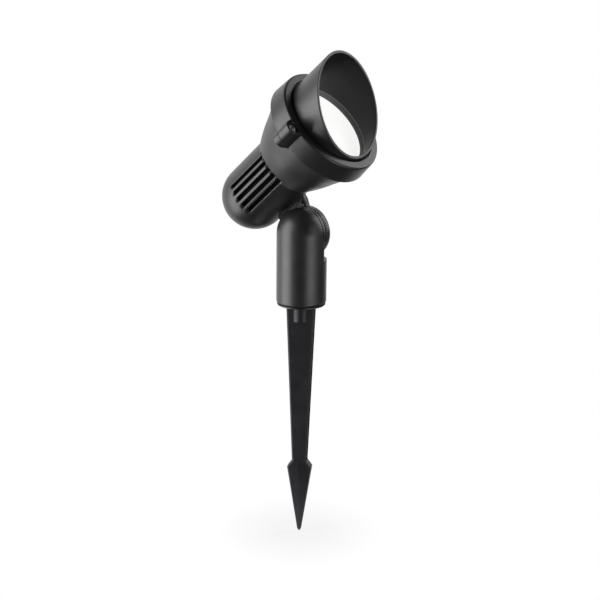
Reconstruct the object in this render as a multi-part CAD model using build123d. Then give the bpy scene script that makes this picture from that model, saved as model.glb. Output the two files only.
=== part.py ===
"""Garden spike spotlight: a tilting lamp head on a knuckle stem, on a soil spike.

World frame: origin on the spike's axis in the plane of the stem's underside, +Z up,
+X the way the lamp aims, +Y across it. Millimetres and degrees.
The head is drawn level in a frame of its own, with X along the lamp's axis and
its origin on that axis square above the tilt pivot, and then tipped to TILT.
"""
import os
from math import cos, radians, sin, sqrt

from build123d import *

os.makedirs("parts", exist_ok=True)

# Pose of the parts at rest
TILT = 42.0                # lamp axis above the horizon, seven teeth of the joint
SPIKE_TURN = 26.5          # spike turned under the stem

# Stem
STEM_R = 19.9
STEM_FOOT_Z = 1.7          # lower edge of the stem shell
FOOT_ROUND = 1.7
WALL = 2.5
PIVOT_Z = 57.8             # height of the tilt pivot and centre of the dome
STEP_Z = 36.8              # above this the far half of the stem is cut away
EAR_Y = 4.0                # face of the ear, where the serrations meet
EAR_WALL = 3.0
CAP_POST_R = 3.3           # posts inside the stem that the base cap is screwed to
CAP_POST_TOP_Z = 20.0

# Tilt joint
JOINT_R = 20.2
JOINT_PROUD = 0.9          # the toothed faces stand this far out of the ear and the arm
DISC_T = 6.7
TEETH = 60
TOOTH_DEPTH = 0.7
TOOTH_W = 1.25
TOOTH_IN_R = 13.6
TOOTH_GAP = 0.15           # between crests, so that the teeth pass when slackened
ORING_R = 11.8
ORING_WIRE_R = 0.95
PIVOT_BORE_R = 2.55
PIVOT_SCREW_R = 2.5
PIVOT_HEAD_R = 4.6
PIVOT_HEAD_T = 2.5
PIVOT_WASHER_R = 5.0
PIVOT_WASHER_T = 0.8
PIVOT_RECESS_R = 5.3
PIVOT_SEAT_Y = EAR_Y + TOOTH_GAP + DISC_T - 3.9
PIVOT_NUT_R = 4.0
PIVOT_NUT_BACK_Y = -7.0
PIVOT_NUT_FRONT_Y = 2.0
PIVOT_BOSS_R = 6.5
LEAD_RING_R = 8.8          # the leads cross the joint this far from the pivot
LEAD_SLOT_HALF_W = 1.9
AIM_LOW = -42.0
AIM_HIGH = 90.0

# Lamp head
AXIS_RISE = 48.9           # lamp axis above the pivot
HEAD_R = 26.5
HEAD_IN_R = 22.0
DOME_X = -19.2             # centre of the rounded back
BELL_X = 24.2
BELL_LIP_X = 27.0
BELL_LIP_R = 28.4
BELL_CREST_X = 36.0        # the bell is fullest here
BELL_CREST_R = 32.5
BELL_SIDE_X = 48.0
BELL_SIDE_R = 36.85
BELL_END_R = 43.1
RING_REAR_X = 64.6
RING_FRONT_X = 81.2
RING_R = 45.9              # at the ring's rear
RING_FRONT_R = 44.8
RING_ROUND = 2.3
RING_BAND_IN_R = 42.6
RING_OPEN_R = 38.8
SPIGOT_R = 42.4
SPIGOT_END_X = 76.4
POCKET_R = 38.5
LEDGE_R = 35.4
LEDGE_X = 65.5

# Cooling slots
SLOTS_A_SIDE = 5
SLOT_STEP = 13.0
SLOT_SAG = 3.4             # the middle slot lies this far below the lamp's axis
SLOT_W = 3.8
SLOT_BEVEL = 0.5
SLOT_DEPTH = 3.2
SLOT_X0 = -15.5
SLOT_X1 = 28.0

# Lugs for the ring screws, one on each side, half on the housing and half on the ring
LUG_Y = 48.6
LUG_R = 6.0
LUG_REAR_X = 64.2
LUG_SPLIT_X = 70.0
LUG_FOOT_W = 9.2           # half width where the lug meets the ring
LUG_CREASE = 1.0
PRY_TURN = 15.5            # pry notch in the ring's rear edge, below the lug
PRY_HALF_W = 2.0
PRY_DEPTH = 1.2
RING_SCREW_R = 1.75
RING_SCREW_HEAD_R = 3.2
RING_SCREW_HEAD_T = 2.2
COUNTERBORE_R = 4.3
COUNTERBORE_DEPTH = 3.0

# Hood and lens
HOOD_R = 37.0              # outside radius where it leaves the ring
HOOD_TOP_R = 36.4          # outside radius at its top tip
HOOD_T = 1.4
HOOD_TOP_X = 119.4
HOOD_LOW_X = 82.3
HOOD_FLANGE_X = 78.4       # front face of its flange, under the ring's lip
HOOD_FLANGE_R = 41.8
LENS_R = 38.0
LENS_X0 = 67.0
LENS_X1 = 70.5
SEAL_IN_R = 35.3
SEAL_END_X = 76.3

# Lamp and holder
LAMP_FRONT_X = 61.0
LAMP_R = 25.0
LAMP_NECK_R = 13.5
LAMP_NECK_X = 27.0
LAMP_END_X = 10.0
PIN_Y = 5.0
HOLDER_X0 = -8.0
HOLDER_R = 13.5
HOLDER_SCREW_Z = 9.5
WIRE_HOLE_Z = -2.0         # wire entries of the lampholder, below its contacts
PLATE_T = 1.5
PLATE_POST_Y = 16.0

# Base cap, swivel and cable inlet
CAP_R = 19.3
CAP_T = 1.2
CAP_SPIGOT_R = 17.3
CAP_HUB_Z = 6.5
HUB_R = 6.6
SWIVEL_R = 3.0
SWIVEL_BORE_R = 3.05
SWIVEL_HEAD_R = 5.7
SWIVEL_HEAD_T = 4.0
SWIVEL_WASHER_R = 5.9
SWIVEL_WASHER_T = 1.0
INSERT_R = 4.0             # brass thread moulded into the top of the spike
INSERT_Z0 = -10.0
CAP_SCREW_X = 13.3
CAP_SCREW_HEAD_R = 2.8
CAP_SEAT_Z = 2.0
INLET_Y = 11.6
INLET_R = 3.3
GROMMET_R = 4.3
GROMMET_TOP_Z = 8.5

# Terminal block on two pillars of the base cap
PILLAR_X = 8.0
PILLAR_Y = -8.0
BLOCK_SCREW_R = 1.25
BLOCK_Z0 = 14.0
BLOCK_Z1 = 26.0
BLOCK_SEAT_Z = 24.0
TERMINALS_X = (-3.2, 3.2)
TERMINAL_R = 2.3
TERMINAL_BORE_R = 1.1
TERMINAL_SCREWS_Z = (17.5, 22.5)
TERMINAL_SCREW_R = 1.2

# Spike
SPIKE_TOP_Z = -0.5
SPIKE_TOP_W = 11.4         # half widths of the blade
NECK_W = 5.9
SHOULDER_W = 9.9
NECK_Z = -132.7
SHOULDER_Z = -138.2
TIP_Z = -195.4
BLADE_D = 5.0              # half depth across the two plates
PLATE_D = 2.2
PLATE_BEVEL = 1.3
WEB_W = 1.2
SPIKE_BOSS_R = 5.85
SPIKE_BOSS_Z = -10.8
CROSS_RIBS_Z = (-30.0, -62.0, -94.0, -126.0)

# Common to several pieces
SCREW_R = 1.5              # small screws
SCREW_HOLE_R = 1.6
LEAD_R = 0.9
SLACK = 0.1                # gap between faces that turn on each other


# Shapes used by several parts

def upright(z0, z1, radius, x=0.0, y=0.0):
    return Pos(x, y, (z0 + z1) / 2) * Cylinder(radius, z1 - z0)


def along(x0, x1, radius, y=0.0, z=0.0):
    return Pos((x0 + x1) / 2, y, z) * Rot(0, 90, 0) * Cylinder(radius, x1 - x0)


def across(y0, y1, radius, x=0.0, z=0.0):
    return Pos(x, (y0 + y1) / 2, z) * Rot(90, 0, 0) * Cylinder(radius, y1 - y0)


def block(x0, x1, y0, y1, z0, z1):
    centre = Pos((x0 + x1) / 2, (y0 + y1) / 2, (z0 + z1) / 2)
    return centre * Box(x1 - x0, y1 - y0, z1 - z0)


def turned_on_x(*points):
    """Solid of revolution about X from (x, radius) points."""
    outline = Polyline(*[(x, 0, r) for x, r in points], close=True)
    return revolve(make_face(outline), Axis.X)


def prism_y(y0, y1, *points):
    """Prism along Y from (x, z) points."""
    outline = Polyline(*[(x, y0, z) for x, z in points], close=True)
    return extrude(make_face(outline), amount=y1 - y0, dir=(0, 1, 0))


def prism_x(x0, x1, *points):
    """Prism along X from (y, z) points."""
    outline = Polyline(*[(x0, y, z) for y, z in points], close=True)
    return extrude(make_face(outline), amount=x1 - x0, dir=(1, 0, 0))


def wire(points, bend):
    """Round insulated lead along straight runs joined by bends."""
    path = FilletPolyline(*points, radius=bend)
    section = Plane(path @ 0, z_dir=path % 0) * Circle(LEAD_R)
    return sweep(section, path=path)


def in_head(shape):
    """Tip a shape drawn in the level head frame to its place at rest."""
    return Pos(0, 0, PIVOT_Z) * Rot(0, -TILT, 0) * Pos(0, 0, AXIS_RISE) * shape


def on_spike(shape):
    return Rot(0, 0, SPIKE_TURN) * shape


def screw_x(x_tip, x_under, x_top, shank_r, head_r, y=0.0, z=0.0):
    """Pan-head screw along X with a cross recess in its front."""
    body = along(x_tip, x_under, shank_r, y, z) + along(x_under, x_top, head_r, y, z)
    rim = body.edges().filter_by(GeomType.CIRCLE).sort_by(Axis.X)[-1]
    body = fillet(rim, (x_top - x_under) * 0.4)
    slot = head_r * 0.62
    depth = (x_top - x_under) * 0.55
    for angle in (0, 90):
        cut = Box(depth, slot * 2, head_r * 0.24)
        body = body - Pos(x_top - depth / 2, y, z) * Rot(angle, 0, 0) * cut
    return body


# Soil spike

def plate_section(half_w, z):
    """One bevelled plate of the blade, on the near side."""
    back = -BLADE_D + PLATE_D
    points = [
        (-half_w, back),
        (-half_w, -BLADE_D + PLATE_BEVEL),
        (-half_w + PLATE_BEVEL, -BLADE_D),
        (half_w - PLATE_BEVEL, -BLADE_D),
        (half_w, -BLADE_D + PLATE_BEVEL),
        (half_w, back),
    ]
    return make_face(Polyline(*[(x, y, z) for x, y in points], close=True))


def head_section(half_w, half_d, z, bevel, ridge):
    """Ten-sided section of the arrowhead, with a low ridge along its middle."""
    side = half_d - bevel
    points = [(0, -half_d - ridge), (half_w - bevel, -half_d), (half_w, -side)]
    points += [(half_w, side), (half_w - bevel, half_d), (0, half_d + ridge)]
    points += [(-half_w + bevel, half_d), (-half_w, side)]
    points += [(-half_w, -side), (-half_w + bevel, -half_d)]
    return make_face(Polyline(*[(x, y, z) for x, y in points], close=True))


def ground_spike():
    plate = loft([plate_section(SPIKE_TOP_W, SPIKE_TOP_Z), plate_section(NECK_W, NECK_Z)], ruled=True)
    web = block(-WEB_W, WEB_W, -BLADE_D + 1, BLADE_D - 1, NECK_Z, SPIKE_TOP_Z)
    body = plate + mirror(plate, about=Plane.XZ) + web
    for z in CROSS_RIBS_Z:
        half = SPIKE_TOP_W + (NECK_W - SPIKE_TOP_W) * (z - SPIKE_TOP_Z) / (NECK_Z - SPIKE_TOP_Z)
        rib_w = half - PLATE_BEVEL
        body += block(-rib_w, rib_w, -BLADE_D + 1, BLADE_D - 1, z - 0.8, z + 0.8)
    shoulder = [
        head_section(NECK_W, BLADE_D, NECK_Z, PLATE_BEVEL, 0.02),
        head_section(SHOULDER_W, BLADE_D, SHOULDER_Z, PLATE_BEVEL, 0.5),
    ]
    point = [
        head_section(SHOULDER_W, BLADE_D, SHOULDER_Z, PLATE_BEVEL, 0.5),
        head_section(1.6, 1.4, TIP_Z + 1.8, 0.5, 0.2),
    ]
    nose = [
        head_section(1.6, 1.4, TIP_Z + 1.8, 0.5, 0.2),
        head_section(0.6, 0.6, TIP_Z, 0.2, 0.1),
    ]
    for pair in (shoulder, point, nose):
        body += loft(pair, ruled=True)
    boss = upright(SPIKE_BOSS_Z, -SLACK, SPIKE_BOSS_R)
    boss = chamfer(boss.edges().filter_by(GeomType.CIRCLE).sort_by(Axis.Z)[0], 0.8)
    body += boss
    body -= upright(INSERT_Z0, 0.0, INSERT_R)
    return on_spike(body)


def spike_insert():
    return upright(INSERT_Z0, -SLACK, INSERT_R) - upright(INSERT_Z0, 0.0, SWIVEL_R)


def swivel_screw():
    seat = CAP_HUB_Z + SLACK + SWIVEL_WASHER_T
    head = Pos(0, 0, seat) * extrude(RegularPolygon(SWIVEL_HEAD_R, 6), amount=SWIVEL_HEAD_T)
    return upright(INSERT_Z0 + 0.4, seat, SWIVEL_R) + head


def swivel_washer():
    z0 = CAP_HUB_Z + SLACK
    z1 = z0 + SWIVEL_WASHER_T
    return upright(z0, z1, SWIVEL_WASHER_R) - upright(z0, z1, SWIVEL_R)


# Stem

def serrations(y0, y1):
    """Cutters of the radial teeth on a face square to Y, apex at y1."""
    half = TOOTH_W / 2
    start = TOOTH_IN_R - 0.5
    corners = [(start, y0, -half), (start, y0, half), (start, y1, 0)]
    cutter = extrude(make_face(Polyline(*corners, close=True)), amount=JOINT_R + 1 - start, dir=(1, 0, 0))
    return [Rot(0, 360 / TEETH * k, 0) * cutter for k in range(TEETH)]


def stem_shell():
    foot_in = STEM_R - FOOT_ROUND
    mid = FOOT_ROUND * (1 - sqrt(0.5))
    outline = Line((0, 0, STEM_FOOT_Z), (foot_in, 0, STEM_FOOT_Z))
    outline += ThreePointArc(
        (foot_in, 0, STEM_FOOT_Z),
        (STEM_R - mid, 0, STEM_FOOT_Z + mid),
        (STEM_R, 0, STEM_FOOT_Z + FOOT_ROUND),
    )
    outline += Line((STEM_R, 0, STEM_FOOT_Z + FOOT_ROUND), (STEM_R, 0, PIVOT_Z))
    outline += ThreePointArc(
        (STEM_R, 0, PIVOT_Z),
        (STEM_R * sqrt(0.5), 0, PIVOT_Z + STEM_R * sqrt(0.5)),
        (0, 0, PIVOT_Z + STEM_R),
    )
    outline += Line((0, 0, PIVOT_Z + STEM_R), (0, 0, STEM_FOOT_Z))
    body = revolve(make_face(outline), Axis.Z)
    body -= block(-30, 30, EAR_Y - JOINT_PROUD, 30, STEP_Z, 100)
    body += across(EAR_Y - EAR_WALL + 0.4, EAR_Y, JOINT_R, z=PIVOT_Z)

    inner = STEM_R - WALL
    post_z = CAP_HUB_Z + 0.7
    cavity = upright(STEM_FOOT_Z - 1, PIVOT_Z, inner) + Pos(0, 0, PIVOT_Z) * Sphere(inner)
    cavity -= block(-30, 30, EAR_Y - EAR_WALL, 30, STEP_Z - WALL, 100)
    cavity -= across(PIVOT_NUT_BACK_Y, EAR_Y, PIVOT_BOSS_R, z=PIVOT_Z)
    for side in (-1, 1):
        x = side * CAP_SCREW_X
        wall_x = side * (STEM_R - FOOT_ROUND)
        cavity -= upright(post_z, CAP_POST_TOP_Z, CAP_POST_R, x=x)
        cavity -= block(min(x, wall_x), max(x, wall_x), -2.0, 2.0, post_z, CAP_POST_TOP_Z)
    body -= cavity
    for side in (-1, 1):
        body -= upright(post_z, CAP_POST_TOP_Z - 2, SCREW_R, x=side * CAP_SCREW_X)

    well_y = EAR_Y - 0.8
    web = across(PIVOT_NUT_FRONT_Y, well_y, PIVOT_NUT_R + 1, z=PIVOT_Z)
    body -= across(PIVOT_NUT_BACK_Y, EAR_Y, PIVOT_NUT_R, z=PIVOT_Z)
    body += web - across(0, EAR_Y, PIVOT_SCREW_R, z=PIVOT_Z)
    body -= across(well_y, EAR_Y, TOOTH_IN_R, z=PIVOT_Z)
    body -= Pos(0, 0, PIVOT_Z) * lead_slot()
    return body - [Pos(0, 0, PIVOT_Z) * cutter for cutter in serrations(EAR_Y, EAR_Y - TOOTH_DEPTH)]


def lead_slot():
    """Curved slot in the ear that the leads follow as the head tilts."""
    start = 90 + AIM_LOW
    end = 90 + AIM_HIGH
    outer = across(-1, EAR_Y, LEAD_RING_R + LEAD_SLOT_HALF_W)
    inner = across(-2, EAR_Y + 1, LEAD_RING_R - LEAD_SLOT_HALF_W)
    reach = 2 * JOINT_R
    points = [(0, 0)]
    for step in range(5):
        angle = radians(start + (end - start) * step / 4)
        points.append((reach * cos(angle), reach * sin(angle)))
    slot = (outer - inner) & prism_y(-1, EAR_Y, *points)
    for angle in (start, end):
        x = LEAD_RING_R * cos(radians(angle))
        z = LEAD_RING_R * sin(radians(angle))
        slot += across(-1, EAR_Y, LEAD_SLOT_HALF_W, x=x, z=z)
    return slot


def base_cap():
    body = upright(0, CAP_T, CAP_R)
    body = fillet(body.edges().filter_by(GeomType.CIRCLE).sort_by(Axis.Z)[0], 0.5)
    body += upright(CAP_T, CAP_HUB_Z, CAP_SPIGOT_R) - upright(CAP_T, CAP_HUB_Z, CAP_SPIGOT_R - 2.3)
    body += upright(CAP_T, CAP_HUB_Z, HUB_R)
    body += upright(CAP_T, CAP_HUB_Z, CAP_SPIGOT_R - INLET_Y, y=INLET_Y)
    for side in (-1, 1):
        body += upright(CAP_T, BLOCK_Z0, 2.3, x=side * PILLAR_X, y=PILLAR_Y)
        body += upright(CAP_T, CAP_HUB_Z, CAP_POST_R, x=side * CAP_SCREW_X)
    body -= upright(-1, CAP_HUB_Z, SWIVEL_BORE_R)
    body -= upright(-1, CAP_HUB_Z, GROMMET_R, y=INLET_Y)
    for side in (-1, 1):
        x = side * CAP_SCREW_X
        body -= upright(-1, CAP_HUB_Z, SCREW_HOLE_R, x=x)
        body -= upright(-1, CAP_SEAT_Z, CAP_SCREW_HEAD_R + 0.1, x=x)
        body -= upright(5.0, BLOCK_Z0, BLOCK_SCREW_R, x=side * PILLAR_X, y=PILLAR_Y)
    return body


def base_gasket():
    gasket_r = STEM_R - FOOT_ROUND - 0.1
    return upright(CAP_T, STEM_FOOT_Z, gasket_r) - upright(CAP_T, STEM_FOOT_Z, CAP_SPIGOT_R)


def base_cap_screws():
    head_z = 0.2
    screws = []
    for side in (-1, 1):
        x = side * CAP_SCREW_X
        body = upright(head_z, CAP_SEAT_Z, CAP_SCREW_HEAD_R, x=x)
        body += upright(CAP_SEAT_Z, CAP_POST_TOP_Z - 3, SCREW_R, x=x)
        for angle in (0, 90):
            body -= Pos(x, 0, head_z) * Rot(0, 0, angle) * Box(3.4, 0.7, 2.0)
        screws.append(body)
    return Compound(children=screws)


def cable_grommet():
    body = upright(0, CAP_HUB_Z, GROMMET_R, y=INLET_Y)
    body += upright(CAP_HUB_Z, GROMMET_TOP_Z, CAP_SPIGOT_R - INLET_Y - 0.1, y=INLET_Y)
    return body - upright(-1, GROMMET_TOP_Z + 1, INLET_R, y=INLET_Y)


def terminal_block():
    body = block(-10.5, 10.5, PILLAR_Y - 4.5, PILLAR_Y + 4.5, BLOCK_Z0, BLOCK_Z1)
    for x in TERMINALS_X:
        body -= upright(BLOCK_Z0, BLOCK_Z1, TERMINAL_R, x=x, y=PILLAR_Y)
        for z in TERMINAL_SCREWS_Z:
            body -= across(PILLAR_Y - 5, PILLAR_Y, TERMINAL_SCREW_R + 0.5, x=x, z=z)
    for side in (-1, 1):
        body -= upright(BLOCK_Z0, BLOCK_Z1, BLOCK_SCREW_R + 0.05, x=side * PILLAR_X, y=PILLAR_Y)
        body -= upright(BLOCK_SEAT_Z, BLOCK_Z1, 2.4, x=side * PILLAR_X, y=PILLAR_Y)
    return body


def terminal_tubes():
    tubes = []
    for x in TERMINALS_X:
        body = upright(BLOCK_Z0 + 0.5, BLOCK_Z1 - 0.5, TERMINAL_R, x=x, y=PILLAR_Y)
        body -= upright(BLOCK_Z0, BLOCK_Z1, TERMINAL_BORE_R, x=x, y=PILLAR_Y)
        for z in TERMINAL_SCREWS_Z:
            body -= across(PILLAR_Y - 5, PILLAR_Y, TERMINAL_SCREW_R, x=x, z=z)
        tubes.append(body)
    return Compound(children=tubes)


def terminal_screws():
    outer_y = PILLAR_Y - 4.3
    screws = []
    for x in TERMINALS_X:
        for z in TERMINAL_SCREWS_Z:
            body = across(outer_y, PILLAR_Y - LEAD_R - 0.1, TERMINAL_SCREW_R, x=x, z=z)
            body -= Pos(x, outer_y, z) * Box(3.0, 1.0, 0.5)
            screws.append(body)
    return Compound(children=screws)


def block_screws():
    top_z = BLOCK_Z1 - 0.3
    screws = []
    for side in (-1, 1):
        x = side * PILLAR_X
        body = upright(6.0, BLOCK_SEAT_Z, BLOCK_SCREW_R, x=x, y=PILLAR_Y)
        body += upright(BLOCK_SEAT_Z, top_z, 2.3, x=x, y=PILLAR_Y)
        for angle in (0, 90):
            body -= Pos(x, PILLAR_Y, top_z) * Rot(0, 0, angle) * Box(2.8, 0.6, 1.6)
        screws.append(body)
    return Compound(children=screws)


def pivot_nut():
    barrel = across(PIVOT_NUT_BACK_Y, PIVOT_NUT_FRONT_Y, PIVOT_NUT_R, z=PIVOT_Z)
    return barrel - across(PIVOT_NUT_BACK_Y, PIVOT_NUT_FRONT_Y, PIVOT_SCREW_R, z=PIVOT_Z)


def pivot_washer():
    y0 = PIVOT_SEAT_Y + SLACK
    y1 = y0 + PIVOT_WASHER_T
    return across(y0, y1, PIVOT_WASHER_R, z=PIVOT_Z) - across(y0, y1, PIVOT_SCREW_R, z=PIVOT_Z)


def pivot_screw():
    under = PIVOT_SEAT_Y + SLACK + PIVOT_WASHER_T
    top = under + PIVOT_HEAD_T
    body = across(PIVOT_NUT_BACK_Y + 0.5, under, PIVOT_SCREW_R, z=PIVOT_Z)
    body += across(under, top, PIVOT_HEAD_R, z=PIVOT_Z)
    body = fillet(body.edges().filter_by(GeomType.CIRCLE).sort_by(Axis.Y)[-1], 1.0)
    hexagon = RegularPolygon(1.75, 6, major_radius=False)
    return body - Pos(0, top, PIVOT_Z) * Rot(90, 0, 0) * extrude(hexagon, amount=2.0)


def stem_leads():
    """Two leads from the terminals up to the joint, beside the pivot's boss."""
    start_z = BLOCK_Z0 + 4
    joint_y = EAR_Y - 0.1
    left, right = TERMINALS_X
    front_z = PIVOT_Z + 7.2
    rear_z = PIVOT_Z + 5.2
    front = [(left, PILLAR_Y, start_z), (left, PILLAR_Y, 32), (-10.8, -5, 44), (-10.8, -5, PIVOT_Z + 3)]
    front += [(-5.2, -3.5, front_z), (-5.2, joint_y, front_z)]
    rear = [(right, PILLAR_Y, start_z), (right, PILLAR_Y, 36), (-9.6, -8.6, 47), (-9.6, -8.6, PIVOT_Z + 9)]
    rear += [(-7.0, -3.5, rear_z), (-7.0, joint_y, rear_z)]
    return Compound(children=[wire(front, 2.0), wire(rear, 2.0)])


# Lamp head, drawn level

def lug_profile(x0, x1, side):
    """Screw lug on one side of the head, flared where it meets the ring."""
    flare = prism_x(
        x0, x1,
        (side * 41.0, -LUG_FOOT_W), (side * 44.3, -LUG_FOOT_W), (side * 49.6, -LUG_R + 0.1),
        (side * 49.6, LUG_R - 0.1), (side * 44.3, LUG_FOOT_W), (side * 41.0, LUG_FOOT_W),
    )
    return flare + along(x0, x1, LUG_R, y=side * LUG_Y)


def arm():
    """Tongue and serrated disc that hang under the housing, beside the ear."""
    near = EAR_Y + TOOTH_GAP
    far = near + DISC_T
    pivot = -AXIS_RISE
    disc = across(near, far, JOINT_R, z=pivot)
    rims = disc.edges().filter_by(GeomType.CIRCLE).sort_by(Axis.Y)
    disc = chamfer(rims[-1], 1.0)
    tongue = prism_y(
        near + JOINT_PROUD, far,
        (-16.2, -20), (16.2, -20), (15.2, -28.2), (12.9, -34.3), (0, -47), (-12.9, -34.3), (-15.2, -28.2),
    )
    body = disc + tongue
    body -= across(near, near + 1.2, TOOTH_IN_R, z=pivot)
    body -= [Pos(0, 0, pivot) * cutter for cutter in serrations(near, near + TOOTH_DEPTH)]
    body += across(near + 0.4, near + 1.2, PIVOT_RECESS_R, z=pivot)
    body -= across(near, far, PIVOT_BORE_R, z=pivot)
    body -= across(PIVOT_SEAT_Y, far + 1, PIVOT_RECESS_R, z=pivot)
    return body


def slot_cutter():
    floor = HEAD_R - SLOT_DEPTH
    half = SLOT_W / 2
    return prism_x(
        SLOT_X0, SLOT_X1,
        (-half, floor), (half, floor), (half, HEAD_R - SLOT_BEVEL), (half + SLOT_BEVEL, HEAD_R),
        (half + SLOT_BEVEL, HEAD_R + 5), (-half - SLOT_BEVEL, HEAD_R + 5),
        (-half - SLOT_BEVEL, HEAD_R), (-half, HEAD_R - SLOT_BEVEL),
    )


def lamp_housing():
    back = DOME_X - HEAD_R
    slant = HEAD_R * sqrt(0.5)
    outline = Line((back, 0, 0), (SPIGOT_END_X, 0, 0))
    outline += ThreePointArc((back, 0, 0), (DOME_X - slant, 0, slant), (DOME_X, 0, HEAD_R))
    outline += Polyline((DOME_X, 0, HEAD_R), (BELL_X, 0, HEAD_R), (BELL_LIP_X, 0, BELL_LIP_R))
    outline += ThreePointArc(
        (BELL_LIP_X, 0, BELL_LIP_R), (BELL_CREST_X, 0, BELL_CREST_R), (BELL_SIDE_X, 0, BELL_SIDE_R)
    )
    outline += Polyline(
        (BELL_SIDE_X, 0, BELL_SIDE_R), (RING_REAR_X, 0, BELL_END_R), (RING_REAR_X, 0, SPIGOT_R),
        (SPIGOT_END_X, 0, SPIGOT_R), (SPIGOT_END_X, 0, 0),
    )
    body = revolve(make_face(outline), Axis.X)
    body += arm()
    for side in (-1, 1):
        body += lug_profile(LUG_REAR_X, LUG_SPLIT_X, side)

    cavity = turned_on_x(
        (DOME_X, 0), (DOME_X, HEAD_IN_R), (28.0, HEAD_IN_R), (36.0, 28.6), (48.0, 33.2), (55.0, LEDGE_R),
        (LEDGE_X, LEDGE_R), (LEDGE_X, POCKET_R), (SPIGOT_END_X + 1, POCKET_R), (SPIGOT_END_X + 1, 0),
    )
    cavity += Pos(DOME_X, 0, 0) * Sphere(HEAD_IN_R)
    plate_back_x = HOLDER_X0 - PLATE_T
    for side in (-1, 1):
        cavity -= along(back, plate_back_x, 3.2, y=side * PLATE_POST_Y)
    body -= cavity
    for side in (-1, 1):
        body -= along(plate_back_x - 10.5, plate_back_x, SCREW_R, y=side * PLATE_POST_Y)
        body -= along(LUG_REAR_X + 0.6, LUG_SPLIT_X, RING_SCREW_R, y=side * LUG_Y)

    middle = EAR_Y + TOOTH_GAP + DISC_T / 2
    lead_z = LEAD_RING_R - AXIS_RISE
    body -= upright(lead_z - 1.5, -HEAD_IN_R + 1.5, 2.3, y=middle)
    body -= across(EAR_Y, middle, 2.05, z=lead_z)

    first = 90 + SLOT_SAG - SLOT_STEP * (SLOTS_A_SIDE - 1) / 2
    turns = [side * (first + SLOT_STEP * k) for side in (-1, 1) for k in range(SLOTS_A_SIDE)]
    body -= [Rot(turn, 0, 0) * slot_cutter() for turn in turns]
    return in_head(body)


def front_ring():
    mid = RING_ROUND * (1 - sqrt(0.5))
    corner_x = RING_FRONT_X - RING_ROUND
    corner_r = RING_FRONT_R - RING_ROUND
    outline = Polyline(
        (RING_REAR_X, 0, RING_BAND_IN_R), (RING_REAR_X, 0, RING_R - 0.7), (RING_REAR_X + 0.7, 0, RING_R),
        (corner_x, 0, RING_FRONT_R),
    )
    outline += ThreePointArc(
        (corner_x, 0, RING_FRONT_R), (RING_FRONT_X - mid, 0, RING_FRONT_R - mid), (RING_FRONT_X, 0, corner_r)
    )
    outline += Polyline(
        (RING_FRONT_X, 0, corner_r), (RING_FRONT_X, 0, RING_OPEN_R + 0.4),
        (RING_FRONT_X - 0.4, 0, RING_OPEN_R), (HOOD_FLANGE_X, 0, RING_OPEN_R),
        (HOOD_FLANGE_X, 0, RING_BAND_IN_R), (RING_REAR_X, 0, RING_BAND_IN_R),
    )
    body = revolve(make_face(outline), Axis.X)
    inside = along(RING_REAR_X - 1, RING_FRONT_X + 1, RING_BAND_IN_R)
    rear = RING_REAR_X - 1
    lug_x = LUG_SPLIT_X + SLACK
    notch_w = LUG_FOOT_W + SLACK
    for side in (-1, 1):
        outer_y = sorted((side * 38.0, side * 52.0))
        body -= block(rear, lug_x, *outer_y, -notch_w, notch_w)
        body += lug_profile(lug_x, RING_FRONT_X, side) - inside
        for edge in (-1, 1):
            z = edge * LUG_FOOT_W
            crease = block(rear, RING_FRONT_X - 3.5, -LUG_CREASE, LUG_CREASE, z - 0.55, z + 0.55)
            body -= Pos(0, side * (RING_R - 0.9), 0) * crease
        notch = block(rear, RING_REAR_X + PRY_DEPTH, -PRY_HALF_W, PRY_HALF_W, RING_R - 1.4, RING_R + 1)
        body -= Rot(side * -(90 + PRY_TURN), 0, 0) * notch
        y = side * LUG_Y
        body -= along(RING_REAR_X - 1, RING_FRONT_X + 1, RING_SCREW_R + 0.15, y=y)
        body -= along(RING_FRONT_X - COUNTERBORE_DEPTH, RING_FRONT_X + 1, COUNTERBORE_R, y=y)
    return in_head(body)


def ring_screws():
    under = RING_FRONT_X - COUNTERBORE_DEPTH
    screws = []
    for side in (-1, 1):
        body = screw_x(
            LUG_REAR_X + 0.8, under, under + RING_SCREW_HEAD_T,
            RING_SCREW_R, RING_SCREW_HEAD_R, y=side * LUG_Y,
        )
        screws.append(in_head(body))
    return Compound(children=screws)


def hood():
    """Tapered visor, cut on a slant, with a flange that the ring clamps."""
    taper = (HOOD_R - HOOD_TOP_R) / (HOOD_TOP_X - RING_FRONT_X)

    def outer(x):
        return HOOD_R - taper * (x - RING_FRONT_X)

    end = HOOD_TOP_X + 5
    tube = turned_on_x(
        (SPIGOT_END_X, outer(SPIGOT_END_X) - HOOD_T), (SPIGOT_END_X, HOOD_FLANGE_R),
        (HOOD_FLANGE_X, HOOD_FLANGE_R), (HOOD_FLANGE_X, outer(HOOD_FLANGE_X)),
        (end, outer(end)), (end, outer(end) - HOOD_T),
    )
    run = HOOD_TOP_X - HOOD_LOW_X
    rise = HOOD_TOP_R + HOOD_R
    reach = 60.0
    top_x = HOOD_TOP_X + (reach - HOOD_TOP_R) * run / rise
    low_x = HOOD_LOW_X - (reach - HOOD_R) * run / rise
    slant = prism_y(-reach, reach, (low_x, -reach), (250, -reach), (250, reach), (top_x, reach))
    return in_head(tube - slant)


def lens_glass():
    body = along(LENS_X0, LENS_X1, LENS_R)
    rims = body.edges().filter_by(GeomType.CIRCLE)
    return in_head(chamfer(rims, 0.3))


def lens_seal():
    body = turned_on_x(
        (LEDGE_X, LEDGE_R), (LEDGE_X, POCKET_R), (SEAL_END_X, POCKET_R), (SEAL_END_X, SEAL_IN_R),
        (LENS_X1, SEAL_IN_R), (LENS_X1, LENS_R), (LENS_X0, LENS_R), (LENS_X0, LEDGE_R),
    )
    return in_head(body)


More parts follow.
